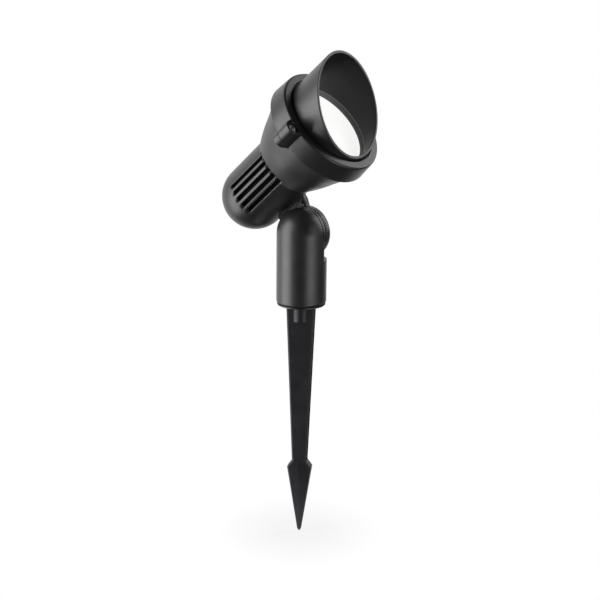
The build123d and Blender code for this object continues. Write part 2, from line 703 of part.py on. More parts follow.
def joint_oring():
    ring = Torus(ORING_R, ORING_WIRE_R)
    y = EAR_Y + TOOTH_GAP + 0.15
    return Pos(0, y, PIVOT_Z) * Rot(90, 0, 0) * ring


def lamp_reflector():
    """Glass reflector of the lamp, a deep bowl with a neck."""
    inner_bowl = ThreePointArc((LAMP_FRONT_X, 0, LAMP_R - 1.2), (46, 0, 22.0), (LAMP_NECK_X + 2, 0, 10.5))
    outer_bowl = ThreePointArc((LAMP_NECK_X, 0, LAMP_NECK_R - 1), (44, 0, 22.6), (LAMP_FRONT_X, 0, LAMP_R))
    outline = inner_bowl + outer_bowl
    outline += Line((LAMP_FRONT_X, 0, LAMP_R), (LAMP_FRONT_X, 0, LAMP_R - 1.2))
    outline += Line((LAMP_NECK_X + 2, 0, 10.5), (LAMP_NECK_X, 0, LAMP_NECK_R - 1))
    return in_head(revolve(make_face(outline), Axis.X))


def lamp_front_glass():
    return in_head(along(LAMP_FRONT_X, LAMP_FRONT_X + 1.6, LAMP_R))


def lamp_base():
    return in_head(turned_on_x(
        (LAMP_END_X, 0), (LAMP_END_X, 11.6), (LAMP_END_X + 3, 12.4), (LAMP_NECK_X - 1, LAMP_NECK_R),
        (LAMP_NECK_X, LAMP_NECK_R - 1), (LAMP_NECK_X + 2, 10.5), (LAMP_NECK_X + 2, 0),
    ))


def lamp_pins():
    pins = []
    for side in (-1, 1):
        y = side * PIN_Y
        pins.append(in_head(along(6.4, LAMP_END_X, 1.5, y=y) + along(3.4, 6.4, 2.5, y=y)))
    return Compound(children=pins)


def lampholder():
    body = along(HOLDER_X0, LAMP_END_X - 0.2, HOLDER_R)
    for side in (-1, 1):
        y = side * PIN_Y
        z = side * HOLDER_SCREW_Z
        body -= along(1.0, LAMP_END_X, 2.8, y=y)
        body -= block(-6.0, 1.0, y - 2.0, y + 2.0, -3.0, 3.0)
        body -= along(HOLDER_X0, -6.0, LEAD_R + 0.1, y=y, z=WIRE_HOLE_Z)
        body -= along(HOLDER_X0, LAMP_END_X, SCREW_HOLE_R, z=z)
        body -= along(-1.0, LAMP_END_X, 2.9, z=z)
    return in_head(body)


def holder_contacts():
    clips = []
    for side in (-1, 1):
        y = side * PIN_Y
        clips.append(in_head(block(-5.8, 3.2, y - 1.6, y + 1.6, -0.6, 0.6)))
    return Compound(children=clips)


def holder_plate():
    body = block(HOLDER_X0 - PLATE_T, HOLDER_X0, -20.2, 20.2, -7.0, 7.0)
    body += block(HOLDER_X0 - PLATE_T, HOLDER_X0, -5.0, 5.0, -12.5, 12.5)
    for side in (-1, 1):
        body -= along(-15, 0, SCREW_HOLE_R, y=side * PLATE_POST_Y)
        body -= along(-15, 0, SCREW_R, z=side * HOLDER_SCREW_Z)
        body -= along(-15, 0, LEAD_R + 0.4, y=side * PIN_Y, z=WIRE_HOLE_Z)
    return in_head(body)


def plate_screws():
    screws = []
    for side in (-1, 1):
        y = side * PLATE_POST_Y
        screws.append(in_head(screw_x(-17.0, HOLDER_X0, HOLDER_X0 + 2.0, SCREW_R, 2.4, y=y)))
    return Compound(children=screws)


def holder_screws():
    screws = []
    for side in (-1, 1):
        z = side * HOLDER_SCREW_Z
        screws.append(in_head(screw_x(-11.5, -1.0, 1.2, SCREW_R, 2.7, z=z)))
    return Compound(children=screws)


def head_leads():
    """Two leads from the lampholder through the arm to the joint."""
    middle = EAR_Y + TOOTH_GAP + DISC_T / 2
    exit_z = LEAD_RING_R - AXIS_RISE
    turn_x = -14.5
    leads = []
    for side in (-1, 1):
        y = side * PIN_Y
        x = side * (LEAD_R + 0.15)
        points = [(-5.6, y, WIRE_HOLE_Z), (turn_x, y, WIRE_HOLE_Z), (turn_x, (y + middle) / 2, -14)]
        points += [(x, middle, -19), (x, middle, exit_z), (x, EAR_Y + 0.6, exit_z)]
        leads.append(in_head(wire(points, 1.6)))
    return Compound(children=leads)


PARTS = [
    ground_spike, spike_insert, swivel_screw, swivel_washer,
    stem_shell, base_cap, base_gasket, base_cap_screws, cable_grommet,
    terminal_block, terminal_tubes, terminal_screws, block_screws,
    pivot_nut, pivot_screw, pivot_washer, stem_leads,
    lamp_housing, front_ring, ring_screws, hood, lens_glass, lens_seal, joint_oring,
    lamp_reflector, lamp_front_glass, lamp_base, lamp_pins,
    lampholder, holder_contacts, holder_plate, plate_screws, holder_screws, head_leads,
]

for part in PARTS:
    export_step(part(), f"parts/{part.__name__}.step")
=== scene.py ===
from math import cos, pi, radians, sin, sqrt

import bpy
from mathutils import Matrix, Vector


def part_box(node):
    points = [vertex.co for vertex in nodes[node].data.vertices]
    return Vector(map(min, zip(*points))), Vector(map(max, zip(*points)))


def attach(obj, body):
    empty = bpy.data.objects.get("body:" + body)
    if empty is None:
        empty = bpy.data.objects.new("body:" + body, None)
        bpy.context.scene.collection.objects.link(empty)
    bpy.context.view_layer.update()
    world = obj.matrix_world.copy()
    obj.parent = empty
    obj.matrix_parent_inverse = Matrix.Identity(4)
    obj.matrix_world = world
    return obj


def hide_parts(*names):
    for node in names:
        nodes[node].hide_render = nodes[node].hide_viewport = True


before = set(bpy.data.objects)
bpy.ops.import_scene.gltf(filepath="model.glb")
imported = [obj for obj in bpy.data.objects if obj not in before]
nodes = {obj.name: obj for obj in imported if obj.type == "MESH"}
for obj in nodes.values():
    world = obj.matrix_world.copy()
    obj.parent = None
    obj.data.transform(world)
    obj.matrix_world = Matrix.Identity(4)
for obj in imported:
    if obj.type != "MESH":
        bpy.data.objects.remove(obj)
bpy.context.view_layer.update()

# Camera: the studio camera stood 1.08 m away, 37 degrees round from the side
# and 15 degrees up, with a long lens, and was held half a degree off level.
MM = 0.001
CAMERA_DISTANCE = 1080 * MM
azimuth, elevation, roll = radians(36.79), radians(15.25), radians(0.52)
toward_camera = Vector((sin(azimuth) * cos(elevation), -cos(azimuth) * cos(elevation), sin(elevation)))
level_right = Vector((cos(azimuth), sin(azimuth), 0.0))
level_up = toward_camera.cross(level_right)
view_right = cos(roll) * level_right + sin(roll) * level_up
view_up = cos(roll) * level_up - sin(roll) * level_right
look_at = -1.0 * MM * level_right + Vector((0, 0, 2.95 * MM))
bpy.ops.object.camera_add()
camera = bpy.context.object
camera.data.sensor_width = 36.0
camera.data.lens = 81.47
pose = Matrix((view_right, view_up, toward_camera)).transposed().to_4x4()
pose.translation = look_at + CAMERA_DISTANCE * toward_camera
camera.matrix_world = pose
bpy.context.scene.camera = camera


# Ground spike: black plastic, injection moulded in one piece, with two bevelled
# plates on a web, cross ribs and an arrow point. The round boss under the stem is
# made a little fuller here than the solid's, and its lower edge is plain.
def new_group(name, ins, outs):
    """Empty shader node group with float inputs and named outputs."""
    group = bpy.data.node_groups.new(name, "ShaderNodeTree")
    for label, value in ins.items():
        socket = group.interface.new_socket(name=label, in_out="INPUT", socket_type="NodeSocketFloat")
        socket.default_value = value
    for label, kind in outs.items():
        group.interface.new_socket(name=label, in_out="OUTPUT", socket_type=kind)
    return group, group.nodes.new("NodeGroupInput"), group.nodes.new("NodeGroupOutput")


def add_noise(tree, size, detail, coordinates=None):
    """Noise whose features are about size millimetres wide."""
    noise = tree.nodes.new("ShaderNodeTexNoise")
    noise.inputs["Scale"].default_value = 1.0 / (size * MM)
    noise.inputs["Detail"].default_value = detail
    if coordinates is None:
        coordinates = tree.nodes.new("ShaderNodeTexCoord").outputs["Object"]
    tree.links.new(coordinates, noise.inputs["Vector"])
    return noise.outputs["Fac"]


def add_range(tree, value, low, high, to_low, to_high):
    """Value carried from one range to another, whose ends may be sockets."""
    node = tree.nodes.new("ShaderNodeMapRange")
    node.inputs["From Min"].default_value = low
    node.inputs["From Max"].default_value = high
    for label, end in (("To Min", to_low), ("To Max", to_high)):
        if isinstance(end, (int, float)):
            node.inputs[label].default_value = end
        else:
            tree.links.new(end, node.inputs[label])
    tree.links.new(value, node.inputs["Value"])
    return node.outputs["Result"]


def add_mix(tree, amount, dark, light):
    """Colour between two colours, or two sockets, by amount."""
    node = tree.nodes.new("ShaderNodeMix")
    node.data_type = "RGBA"
    tree.links.new(amount, node.inputs[0])
    for socket, value in ((node.inputs[6], dark), (node.inputs[7], light)):
        if isinstance(value, tuple):
            socket.default_value = (*value, 1.0)
        else:
            tree.links.new(value, socket)
    return node.outputs[2]


def make_surface_grain():
    """Uneven skin of a coated or moulded surface: broad waves, fine grain, cloudy gloss."""
    group, ins, outs = new_group(
        "surface_grain",
        {"Wave Size": 1.4, "Grain Size": 0.3, "Grain Share": 0.5, "Gloss Low": 0.34, "Gloss High": 0.42},
        {"Height": "NodeSocketFloat", "Roughness": "NodeSocketFloat", "Cloud": "NodeSocketFloat"},
    )
    place = group.nodes.new("ShaderNodeTexCoord").outputs["Object"]

    def layer(size_socket, detail):
        inverse = group.nodes.new("ShaderNodeMath")
        inverse.operation = "DIVIDE"
        inverse.inputs[0].default_value = 1000.0
        group.links.new(size_socket, inverse.inputs[1])
        noise = group.nodes.new("ShaderNodeTexNoise")
        noise.inputs["Detail"].default_value = detail
        group.links.new(place, noise.inputs["Vector"])
        group.links.new(inverse.outputs[0], noise.inputs["Scale"])
        return noise.outputs["Fac"]

    waves = layer(ins.outputs["Wave Size"], 1.0)
    grain = layer(ins.outputs["Grain Size"], 2.0)
    share = group.nodes.new("ShaderNodeMath")
    share.operation = "MULTIPLY_ADD"
    group.links.new(grain, share.inputs[0])
    group.links.new(ins.outputs["Grain Share"], share.inputs[1])
    group.links.new(waves, share.inputs[2])
    group.links.new(share.outputs[0], outs.inputs["Height"])
    cloud = add_noise(group, 14.0, 3.0, place)
    group.links.new(cloud, outs.inputs["Cloud"])
    gloss = add_range(group, cloud, 0.3, 0.7, ins.outputs["Gloss Low"], ins.outputs["Gloss High"])
    group.links.new(gloss, outs.inputs["Roughness"])
    return group


surface_grain = make_surface_grain()


def add_group(tree, group, **values):
    """Node of a shared group, with its inputs set by name."""
    node = tree.nodes.new("ShaderNodeGroup")
    node.node_tree = group
    for label, value in values.items():
        node.inputs[label.replace("_", " ")].default_value = value
    return node


def new_material(name):
    """Material with its node tree and its shader."""
    material = bpy.data.materials.new(name)
    material.use_nodes = True
    return material, material.node_tree, material.node_tree.nodes["Principled BSDF"]


def add_bump(tree, height, depth, strength, edge=None):
    """Bump of a height map, depth in millimetres, on a normal that rounds sharp edges."""
    bump = tree.nodes.new("ShaderNodeBump")
    bump.inputs["Distance"].default_value = depth * MM
    bump.inputs["Strength"].default_value = strength
    tree.links.new(height, bump.inputs["Height"])
    if edge:
        rounding = tree.nodes.new("ShaderNodeBevel")
        rounding.samples = 6
        rounding.inputs["Radius"].default_value = edge * MM
        tree.links.new(rounding.outputs["Normal"], bump.inputs["Normal"])
    return bump.outputs["Normal"]


def grained(name, dark, light, gloss, wave, grain, share, depth, edge=None, metallic=0.0, strength=0.4):
    """Opaque material with the surface grain, between two near colours."""
    material, tree, shader = new_material(name)
    skin = add_group(
        tree, surface_grain, Wave_Size=wave, Grain_Size=grain, Grain_Share=share,
        Gloss_Low=gloss[0], Gloss_High=gloss[1],
    )
    tree.links.new(add_mix(tree, skin.outputs["Cloud"], dark, light), shader.inputs["Base Color"])
    tree.links.new(skin.outputs["Roughness"], shader.inputs["Roughness"])
    tree.links.new(add_bump(tree, skin.outputs["Height"], depth, strength, edge), shader.inputs["Normal"])
    shader.inputs["Metallic"].default_value = metallic
    return material


def set_finishes(mesh, *materials):
    """Leave a mesh with just these materials."""
    mesh.materials.clear()
    for material in materials:
        mesh.materials.append(material)


def dress(material, *names):
    """Give CAD nodes their finish."""
    for name in names:
        set_finishes(nodes[name].data, material)


spike_plastic = grained(
    "spike_plastic", (0.015, 0.015, 0.019), (0.021, 0.021, 0.026), (0.40, 0.52), 2.2, 0.35, 0.4, 0.04, edge=0.4)
BOSS_R = 7.0
BOSS_TOP_Z = -0.5
BOSS_LENGTH = 13.5
SHARP_ANGLE = radians(32)
dress(spike_plastic, "ground_spike")
spike = bpy.data.objects.new("soil_spike", nodes["ground_spike"].data.copy())
bpy.context.scene.collection.objects.link(spike)
bpy.ops.object.select_all(action="DESELECT")
bpy.ops.mesh.primitive_cylinder_add(
    vertices=96, radius=BOSS_R * MM, depth=BOSS_LENGTH * MM, location=(0, 0, (BOSS_TOP_Z - BOSS_LENGTH / 2) * MM))
boss = bpy.context.object
bpy.ops.object.transform_apply(location=True, rotation=True, scale=True)
bpy.ops.object.shade_smooth_by_angle(angle=SHARP_ANGLE)
boss.data.materials.append(spike_plastic)
spike.select_set(True)
bpy.context.view_layer.objects.active = spike
bpy.ops.object.join()
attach(spike, "spike")
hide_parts("ground_spike")

# Swivel: a brass thread is moulded into the top of the spike. A stainless screw
# with a washer goes down through the base cap into it and clamps the stem.
brass = grained("brass", (0.70, 0.52, 0.24), (0.80, 0.62, 0.33), (0.28, 0.40), 3.0, 0.2, 0.3, 0.01, metallic=1.0)
stainless = grained(
    "stainless", (0.66, 0.66, 0.65), (0.76, 0.76, 0.75), (0.20, 0.30), 3.0, 0.15, 0.3, 0.005, metallic=1.0)
dress(brass, "spike_insert")
dress(stainless, "swivel_screw", "swivel_washer")

# Base cap: a die-cast, powder-coated cover closes the stem from below on a rubber
# gasket, with stainless screws. A rubber grommet beside the spike is the inlet.
powder_coat = grained(
    "powder_coat", (0.014, 0.0144, 0.0144), (0.019, 0.0194, 0.019), (0.36, 0.43), 1.3, 0.28, 0.6, 0.03,
    edge=0.3)
powder_coat.node_tree.nodes["Principled BSDF"].inputs["Specular IOR Level"].default_value = 0.9
black_rubber = grained(
    "black_rubber", (0.018, 0.018, 0.018), (0.028, 0.028, 0.028), (0.6, 0.75), 1.5, 0.25, 0.6, 0.03)
dress(powder_coat, "base_cap")
dress(black_rubber, "base_gasket", "cable_grommet")
dress(stainless, "base_cap_screws")

# Stem: a round die-cast aluminium knuckle with a domed top, powder coated. Its far
# half is cut away above a step, and the ear that is left bears the joint's teeth.
dress(powder_coat, "stem_shell")

# Terminals and leads: a white plastic block with brass tubes and clamp screws is
# screwed down inside the stem. Two silicone-covered leads go up from it to the head.
terminal_plastic = grained(
    "terminal_plastic", (0.80, 0.80, 0.77), (0.88, 0.88, 0.85), (0.4, 0.5), 3.0, 0.3, 0.3, 0.02)
lead_insulation = grained(
    "lead_insulation", (0.74, 0.72, 0.68), (0.82, 0.80, 0.76), (0.5, 0.6), 3.0, 0.3, 0.3, 0.02)
dress(terminal_plastic, "terminal_block")
dress(brass, "terminal_tubes")
dress(stainless, "terminal_screws", "block_screws")
dress(lead_insulation, "stem_leads", "head_leads")

# Tilt joint: a stainless socket-head screw with a washer goes through the arm's
# disc into a brass nut in the ear. A rubber ring seals the way of the leads.
dress(brass, "pivot_nut")
dress(stainless, "pivot_screw", "pivot_washer")
dress(black_rubber, "joint_oring")

# Lamp housing: one aluminium die casting, powder coated, with five cooling slots
# a side between ribs with round crests, and lugs at its mouth for the ring screws.
# The floors of the slots are painted a matte black, as painted shade, to look as dark as they do in their shadow.
PIVOT_Z = 57.8
HEAD_LIFT = 48.9
LAMP_RISE = radians(42.0)
HEAD_PLACE = (
    Matrix.Translation((0, 0, PIVOT_Z * MM))
    @ Matrix.Rotation(-LAMP_RISE, 4, "Y")
    @ Matrix.Translation((0, 0, HEAD_LIFT * MM))
)
HEAD_R = 26.5
DOME_X = -19.2
SLOT_TURNS = [side * (67.4 + 13.0 * k) for side in (-1, 1) for k in range(5)]
SLOT_X = (-15.5, 28.0)
SLOT_FLOOR_R = 22.7
SLOT_HALF_W = 1.55
RIB_ROUND = 1.0
LUG_Y = 48.6
LUG_R = 6.2
LUG_FOOT_W = 7.3
LUG_FLAT_Y = 44.6
LUG_SPLIT_X = 70.0
WELD = 0.002 * MM
FLARE = ((27.2, 28.5), (36.0, 32.5), (48.0, 36.85))
INSIDE_R = 22.0
SCREW_HOLE_R = 1.75


def pick_only(piece):
    """Select one piece, and nothing else."""
    bpy.ops.object.select_all(action="DESELECT")
    bpy.context.view_layer.objects.active = piece
    piece.select_set(True)


def draw(name, points):
    """Chain of edges through points in millimetres, left in edit mode."""
    bpy.ops.object.select_all(action="DESELECT")
    bpy.ops.mesh.primitive_plane_add(size=1 * MM)
    piece = bpy.context.object
    piece.name = piece.data.name = name
    bpy.ops.object.mode_set(mode="EDIT")
    bpy.ops.mesh.select_mode(type="VERT")
    bpy.ops.mesh.merge(type="CENTER")
    points = [Vector(point) * MM for point in points]
    bpy.ops.transform.translate(value=points[0])
    for here, there in zip(points, points[1:]):
        bpy.ops.mesh.extrude_vertices_move(TRANSFORM_OT_translate={"value": there - here})
    return piece


def close_up():
    """Weld the drawn piece, face it outward and leave edit mode."""
    bpy.ops.mesh.select_all(action="SELECT")
    bpy.ops.mesh.remove_doubles(threshold=WELD)
    bpy.ops.mesh.normals_make_consistent(inside=False)
    bpy.ops.object.mode_set(mode="OBJECT")


def turned(name, outline, closed=True, steps=128, y=0.0):
    """Piece turned about the lamp's axis from an outline of (x, radius)."""
    points = list(outline) + ([outline[0]] if closed else [])
    piece = draw(name, [(x, y, r) for x, r in points])
    bpy.ops.mesh.select_all(action="SELECT")
    bpy.ops.mesh.spin(steps=steps, angle=2 * pi, center=(0, y * MM, 0), axis=(1, 0, 0))
    close_up()
    return piece


def prism(name, x0, x1, outline, taper=1.0, middle=(0, 0, 0)):
    """Bar along the lamp's axis with an outline of (y, z)."""
    piece = draw(name, [(x0, y, z) for y, z in list(outline) + [outline[0]]])
    bpy.ops.mesh.select_all(action="SELECT")
    bpy.ops.mesh.remove_doubles(threshold=WELD)
    bpy.ops.mesh.edge_face_add()
    bpy.ops.mesh.extrude_region_move(TRANSFORM_OT_translate={"value": ((x1 - x0) * MM, 0, 0)})
    if taper != 1.0:
        bpy.ops.transform.resize(value=(1, taper, taper), center_override=Vector(middle) * MM)
    close_up()
    return piece


def combine(piece, other, operation):
    """Add or cut away another solid, which is used up."""
    modifier = piece.modifiers.new("shape", "BOOLEAN")
    modifier.operation = operation
    modifier.object = other
    modifier.solver = "MANIFOLD"
    pick_only(piece)
    bpy.ops.object.modifier_apply(modifier=modifier.name)
    bpy.data.objects.remove(other)


def arc(x, r, radius, start, end, steps):
    """Points of an arc in an outline, with angles in degrees from the lamp's axis."""
    turns = [radians(start + (end - start) * k / steps) for k in range(steps + 1)]
    return [(x + radius * cos(turn), r + radius * sin(turn)) for turn in turns]


def finish_in_head(piece, material=None):
    """Tip a piece drawn level to the lamp's aim; its faces keep their finish unless one is named."""
    piece.matrix_world = HEAD_PLACE
    pick_only(piece)
    bpy.ops.object.transform_apply(location=True, rotation=True, scale=True)
    bpy.ops.object.shade_smooth_by_angle(angle=SHARP_ANGLE)
    modifier = piece.modifiers.new("even_shading", "WEIGHTED_NORMAL")
    modifier.keep_sharp = True
    bpy.ops.object.modifier_apply(modifier=modifier.name)
    if material:
        set_finishes(piece.data, material)
        for face in piece.data.polygons:
            face.material_index = 0
    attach(piece, "head")


def turn_about_axis(piece, degrees):
    """Turn a piece drawn on top of the lamp's axis to another place round it."""
    piece.rotation_euler = (radians(degrees), 0, 0)
    pick_only(piece)
    bpy.ops.object.transform_apply(location=True, rotation=True, scale=True)


def lug_outline(side, foot_y):
    """Outline of a screw lug: two flats and a round end."""
    rim = [(LUG_Y + LUG_R * cos(radians(a)), LUG_R * sin(radians(a))) for a in range(84, -85, -12)]
    points = [(foot_y, LUG_FOOT_W), (LUG_FLAT_Y, LUG_FOOT_W)] + rim
    points += [(LUG_FLAT_Y, -LUG_FOOT_W), (foot_y, -LUG_FOOT_W)]
    return [(side * y, z) for y, z in points]


def curve_through(first, second, third, steps):
    """Smooth outline points from the first to the third point."""
    points = []
    for k in range(steps + 1):
        x = first[0] + (third[0] - first[0]) * k / steps
        r = 0.0
        for a, b, c in ((first, second, third), (second, third, first), (third, first, second)):
            r += a[1] * (x - b[0]) * (x - c[0]) / ((a[0] - b[0]) * (a[0] - c[0]))
        points.append((x, r))
    return points


outside = [(DOME_X - HEAD_R, 0.0)] + arc(DOME_X, 0, HEAD_R, 180, 90, 24)[1:]
outside += [(23.4, HEAD_R), (24.5, 26.75), (26.2, 27.8)] + curve_through(*FLARE, 10)
outside += [(54.0, 39.1), (60.0, 41.37), (64.6, 43.1), (64.6, 42.4), (76.4, 42.4), (76.4, 38.5)]
outside += [(65.5, 38.5), (65.5, 35.4), (55.0, 35.4), (48.0, 33.2), (36.0, 28.6), (28.0, INSIDE_R)]
outside += arc(DOME_X, 0, INSIDE_R, 90, 180, 12)[:-1] + [(DOME_X - INSIDE_R, 0.0)]
housing = turned("lamp_housing_casting", outside, closed=False, steps=144)
for side in (-1, 1):
    combine(housing, prism("lug", 64.2, LUG_SPLIT_X, lug_outline(side, 41.0)), "UNION")
    screw_hole = [(64.8, 0.0), (64.8, SCREW_HOLE_R), (LUG_SPLIT_X + 0.2, SCREW_HOLE_R), (LUG_SPLIT_X + 0.2, 0.0)]
    combine(housing, turned("hole", screw_hole, closed=False, steps=24, y=side * LUG_Y), "DIFFERENCE")

crest = HEAD_R - RIB_ROUND
half = SLOT_HALF_W + RIB_ROUND
left = [
    (-half + RIB_ROUND * cos(radians(a)), crest + RIB_ROUND * sin(radians(a))) for a in (0, 18, 36, 54, 72, 90)
]
slot = [(-SLOT_HALF_W, SLOT_FLOOR_R), (-SLOT_HALF_W, 24.6)] + left + [(-half, HEAD_R + 5)]
slot += [(-y, z) for y, z in reversed(slot)]
for turn in SLOT_TURNS:
    cutter = prism("slot", *SLOT_X, slot)
    turn_about_axis(cutter, turn)
    combine(housing, cutter, "DIFFERENCE")

# Arm of the same casting: the part of the solid below the round back is kept, with
# its disc, and its open end is drawn out into the back and closed.
ARM_HALF_LENGTH = 21
ARM_SINK = 1.5
casting = bpy.data.objects.new("arm", nodes["lamp_housing"].data.copy())
bpy.context.scene.collection.objects.link(casting)
casting.data.transform(HEAD_PLACE.inverted())
pick_only(casting)
bpy.ops.object.mode_set(mode="EDIT")
bpy.ops.mesh.select_mode(type="FACE")
bpy.ops.mesh.select_all(action="SELECT")
bpy.ops.mesh.remove_doubles(threshold=0.001 * MM)
bpy.ops.mesh.select_all(action="DESELECT")
bpy.ops.object.mode_set(mode="OBJECT")
corners = casting.data.vertices
for face in casting.data.polygons:
    in_arm = any(
        sqrt(corners[i].co.y ** 2 + corners[i].co.z ** 2) > (HEAD_R + 0.1) * MM
        and abs(corners[i].co.x) < ARM_HALF_LENGTH * MM
        for i in face.vertices
    )
    face.select = not in_arm
bpy.ops.object.mode_set(mode="EDIT")
bpy.ops.mesh.delete(type="FACE")
bpy.ops.mesh.select_mode(type="EDGE")
bpy.ops.mesh.select_non_manifold()
bpy.ops.mesh.extrude_region_move(TRANSFORM_OT_translate={"value": (0, 0, ARM_SINK * MM)})
bpy.ops.mesh.select_all(action="SELECT")
bpy.ops.mesh.fill_holes(sides=0)
bpy.ops.mesh.select_all(action="DESELECT")
bpy.ops.object.mode_set(mode="OBJECT")

# Painted shade: a flat, dull black is put on the slot floors, in the grooves of the joint's teeth and in the screw
# recesses, where shade falls.
PAINTED_SHADE_X = (-15.8, 28.2)
PAINTED_SHADE_R = (22.3, 24.65)
painted_shade = grained("painted_shade_black", (0.004, 0.004, 0.004), (0.007, 0.007, 0.007), (0.8, 0.9), 1.3, 0.28, 0.6, 0.03)
painted_shade.node_tree.nodes["Principled BSDF"].inputs["Specular IOR Level"].default_value = 0.15
# Faces at the slot floors get the black painted shade as their second finish.
set_finishes(housing.data, powder_coat, painted_shade)
for face in housing.data.polygons:
    radius = sqrt(face.center.y ** 2 + face.center.z ** 2)
    at_floor = PAINTED_SHADE_R[0] * MM < radius < PAINTED_SHADE_R[1] * MM
    in_slot = at_floor and PAINTED_SHADE_X[0] * MM < face.center.x < PAINTED_SHADE_X[1] * MM
    face.material_index = 1 if in_slot else 0
set_finishes(casting.data, powder_coat)
casting.select_set(True)
housing.select_set(True)
bpy.context.view_layer.objects.active = housing
bpy.ops.object.join()
finish_in_head(housing)


EAR_Y = 4.0
TEETH_R = (13.3, 20.3)


def darken_grooves(mesh, slot, y_from, y_to):
    """Give the grooves between the joint's teeth the black painted shade in the given material slot."""
    for face in mesh.polygons:
        out = Vector((face.center.x, 0, face.center.z - PIVOT_Z * MM))
        in_teeth = y_from * MM < face.center.y < y_to * MM and TEETH_R[0] * MM < out.length < TEETH_R[1] * MM
        if in_teeth and abs(face.normal.dot(out.normalized())) < 0.5:
            face.material_index = slot


# The grooves between the joint's teeth, on the stem and on the arm, get the black painted shade.
nodes["stem_shell"].data.materials.append(painted_shade)
darken_grooves(nodes["stem_shell"].data, 1, EAR_Y - 0.75, EAR_Y - 0.03)
darken_grooves(housing.data, 1, EAR_Y + 0.18, EAR_Y + 0.9)
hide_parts("lamp_housing")

# Lampholder: a ceramic block with brass contacts, screwed on a zinc-plated steel
# plate that is screwed down in turn inside the round back of the housing.
ceramic = grained("holder_ceramic", (0.80, 0.78, 0.73), (0.87, 0.85, 0.80), (0.4, 0.55), 2.0, 0.3, 0.5, 0.03)
zinc = grained(
    "zinc_plate", (0.55, 0.57, 0.60), (0.66, 0.68, 0.70), (0.30, 0.45), 4.0, 0.4, 0.5, 0.01, metallic=1.0)
dress(ceramic, "lampholder")
dress(brass, "holder_contacts")
dress(zinc, "holder_plate")
dress(stainless, "plate_screws", "holder_screws")

# Lamp: a 50 mm reflector lamp, a glass bowl with a bright metal coat, closed by a
# clear front glass. Its white ceramic base plugs into the holder with two steel pins.
lamp_ceramic = grained("lamp_ceramic", (0.86, 0.85, 0.82), (0.91, 0.90, 0.88), (0.15, 0.25), 3.0, 0.4, 0.3, 0.01)
lamp_mirror = grained(
    "lamp_mirror", (0.82, 0.82, 0.83), (0.88, 0.88, 0.89), (0.05, 0.10), 2.5, 0.5, 0.2, 0.02, metallic=1.0)
clear_glass, tree, shader = new_material("clear_glass")
shader.inputs["Base Color"].default_value = (0.95, 0.97, 0.97, 1)
shader.inputs["Transmission Weight"].default_value = 1.0
shader.inputs["Roughness"].default_value = 0.03
tree.links.new(add_bump(tree, add_noise(tree, 6.0, 1.0), 0.01, 0.2), shader.inputs["Normal"])
dress(lamp_mirror, "lamp_reflector")
dress(clear_glass, "lamp_front_glass")
dress(lamp_ceramic, "lamp_base")
dress(stainless, "lamp_pins")

# Lens: an opal disc, slightly domed, that lies in the mouth of the housing under
# the ring. It gives off light of its own, as with the lamp on.
LENS_FACE_X = 70.5
LENS_DOME = 0.7
LENS_FLAT_R = 36.0
opal_lens, tree, shader = new_material("opal_lens")
cloud = add_noise(tree, 20.0, 2.0)
tree.links.new(add_mix(tree, cloud, (0.90, 0.90, 0.89), (0.94, 0.94, 0.93)), shader.inputs["Base Color"])
tree.links.new(add_mix(tree, cloud, (0.93, 0.93, 0.92), (0.96, 0.96, 0.95)), shader.inputs["Emission Color"])
shader.inputs["Emission Strength"].default_value = 0.9
tree.links.new(add_range(tree, cloud, 0.3, 0.7, 0.12, 0.2), shader.inputs["Roughness"])
lens_outline = [(67.0, 0), (67.0, 37.6), (67.4, 38.0), (70.1, 38.0), (LENS_FACE_X, 37.6)]
lens_outline += [
    (LENS_FACE_X + LENS_DOME * (1 - (r / LENS_FLAT_R) ** 2), r)
    for r in (LENS_FLAT_R, 30.0, 24.0, 18.0, 12.0, 6.0, 0.0)
]
lens = turned("opal_lens_disc", lens_outline, closed=False)
finish_in_head(lens, opal_lens)
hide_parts("lens_glass")

# Lens seal: a moulded rubber channel round the edge of the lens, pressed between
# the housing and the ring. Its round lip shows as a grey band inside the hood.
seal_outline = [(65.6, 35.5), (65.6, 38.4), (76.2, 38.4), (76.2, 37.0)]
seal_outline += arc(75.5, 36.1, 0.7, 0, -150, 6)
seal_outline += [(74.6, 36.6), (74.1, 36.4), (73.7, 35.9), (71.6, 34.9), (71.2, 34.8), (70.9, 35.0)]
seal_outline += [(70.5, 36.5), (70.5, 38.05), (66.9, 38.05), (66.9, 35.5)]
seal = turned("lens_seal_channel", seal_outline)
seal_rubber = grained("seal_rubber", (0.14, 0.14, 0.14), (0.17, 0.17, 0.17), (0.45, 0.55), 1.5, 0.25, 0.6, 0.02)
finish_in_head(seal, seal_rubber)
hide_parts("lens_seal")

# Hood: a tapered visor of powder-coated aluminium, cut on a slant, with a flange
# at its foot that the ring clamps. Its rim is rounded, and its inside is made darker and duller as painted shade.
HOOD_T = 2.2
HOOD_RIM_ROUND = 0.55
SLANT_REACH = 60
hood_outline = [
    (76.5, 37.1 - HOOD_T), (76.5, 41.6), (76.7, 41.8), (78.2, 41.8), (78.4, 41.6), (78.4, 37.9), (78.8, 37.25),
    (79.6, 37.03), (81.2, 37.0), (124.0, 36.33), (124.0, 36.33 - HOOD_T), (81.2, 37.0 - HOOD_T),
]
hood = turned("visor", hood_outline, steps=160)
low_tip, top_tip = (82.3, -37.0), (119.4, 36.4)
slant_run, slant_rise = top_tip[0] - low_tip[0], top_tip[1] - low_tip[1]
low_x = low_tip[0] - (SLANT_REACH + low_tip[1]) * slant_run / slant_rise
top_x = top_tip[0] + (SLANT_REACH - top_tip[1]) * slant_run / slant_rise
slant_corners = [(low_x, -SLANT_REACH), (250, -SLANT_REACH), (250, SLANT_REACH), (top_x, SLANT_REACH)]
slant_corners.append(slant_corners[0])
